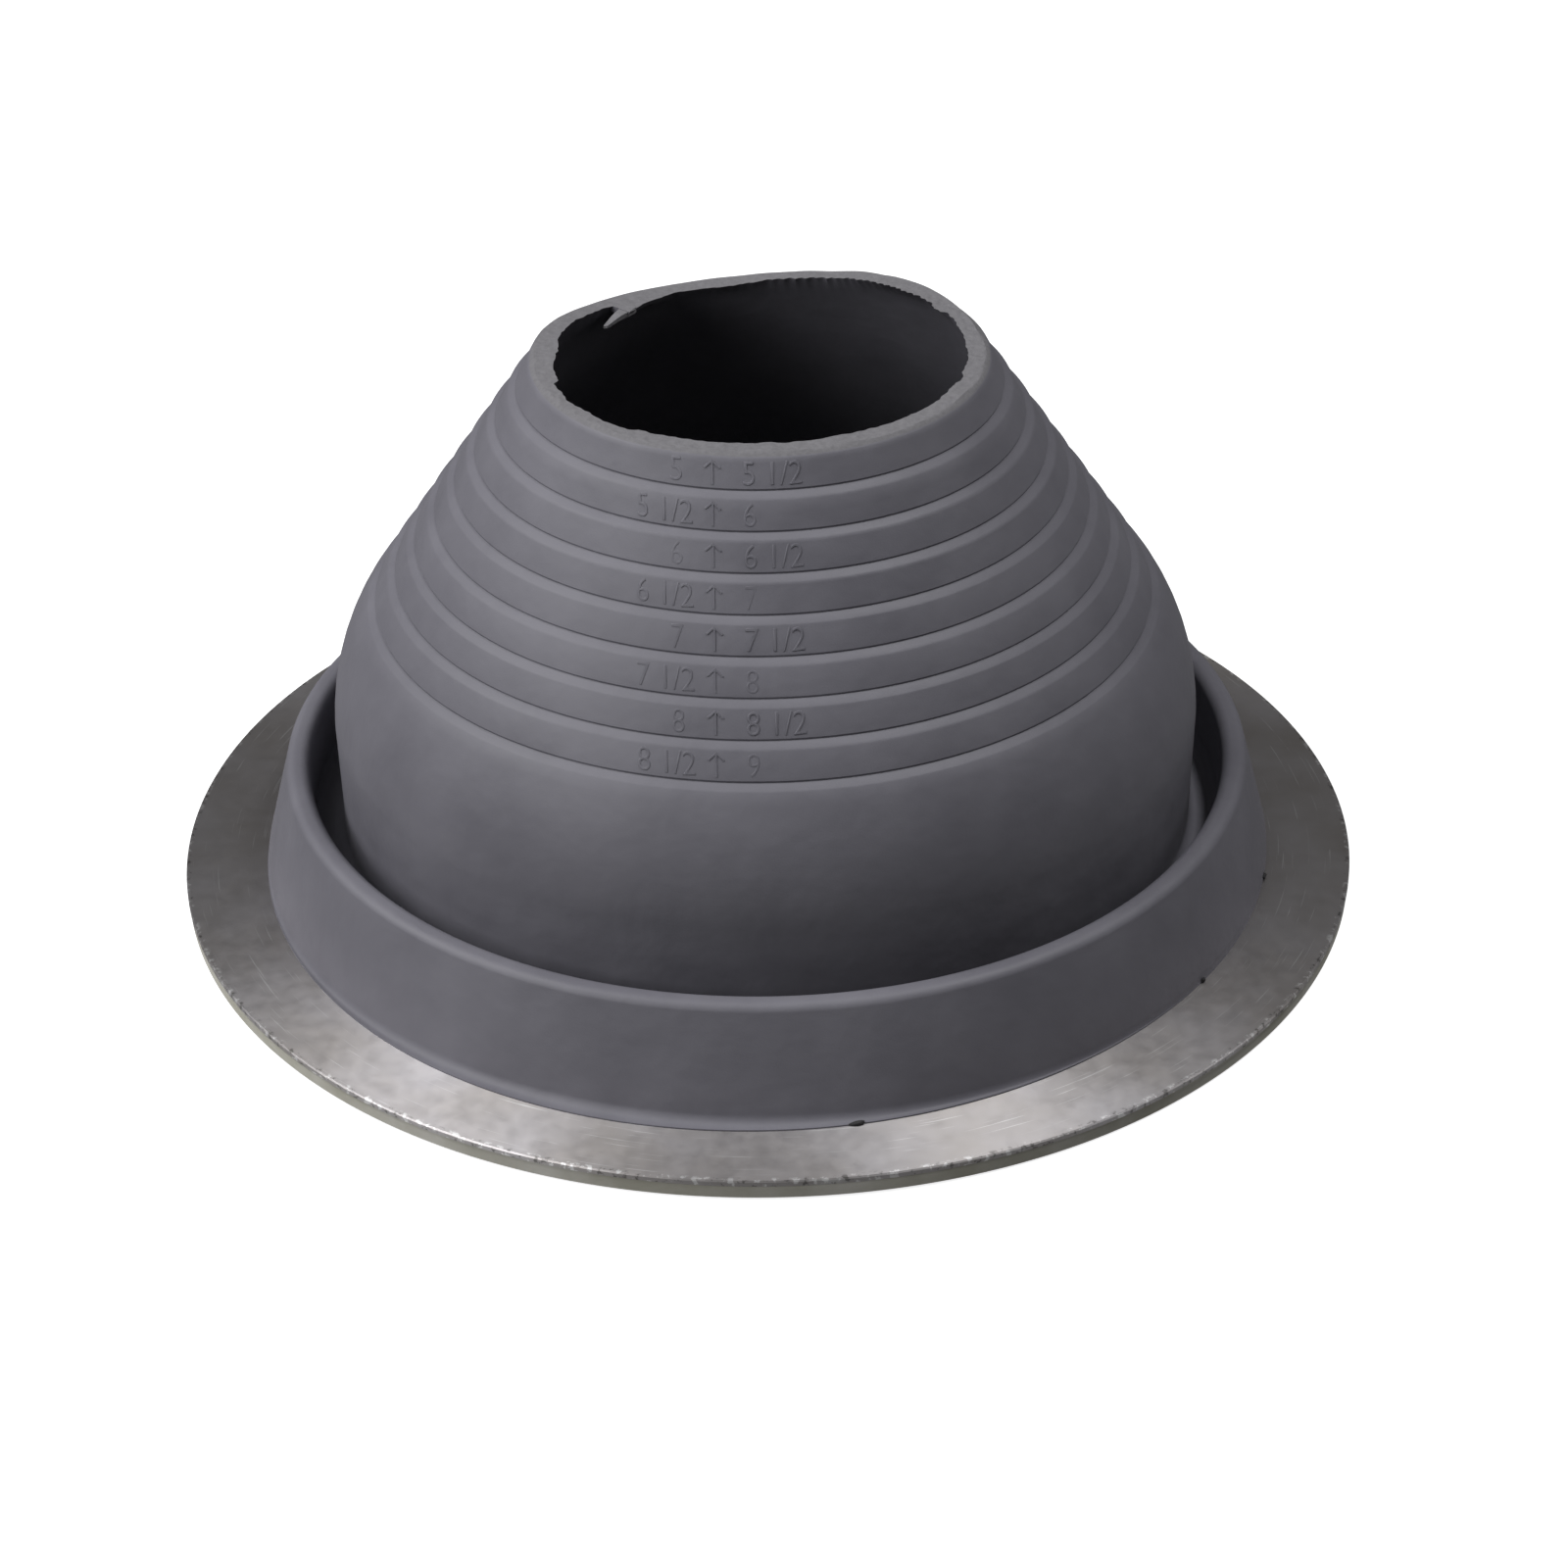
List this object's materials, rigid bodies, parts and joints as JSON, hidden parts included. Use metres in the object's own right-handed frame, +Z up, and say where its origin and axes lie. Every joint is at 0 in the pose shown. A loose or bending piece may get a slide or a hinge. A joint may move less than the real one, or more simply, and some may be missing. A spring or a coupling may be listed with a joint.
{
  "type": "pipe flashing boot",
  "caption": "Stepped rubber cone with a rolled fold and collar at its foot, on a round soft metal flange, sealing a pipe that passes through a roof.",
  "frame": {"origin": "middle of the flange's underside, in the plane of the roof", "axes": "+Z up along the pipe, square to the flange; the ring numbers face -Y"},
  "size_m": [0.311, 0.311, 0.1474],
  "materials": {
    "epdm_rubber": "moulded, matte grey",
    "soft_aluminium": "mill finish, scuffed"
  },
  "bodies": {
    "root": {"rubber_boot": "epdm_rubber", "base_ring": "soft_aluminium"}
  },
  "joints": []
}
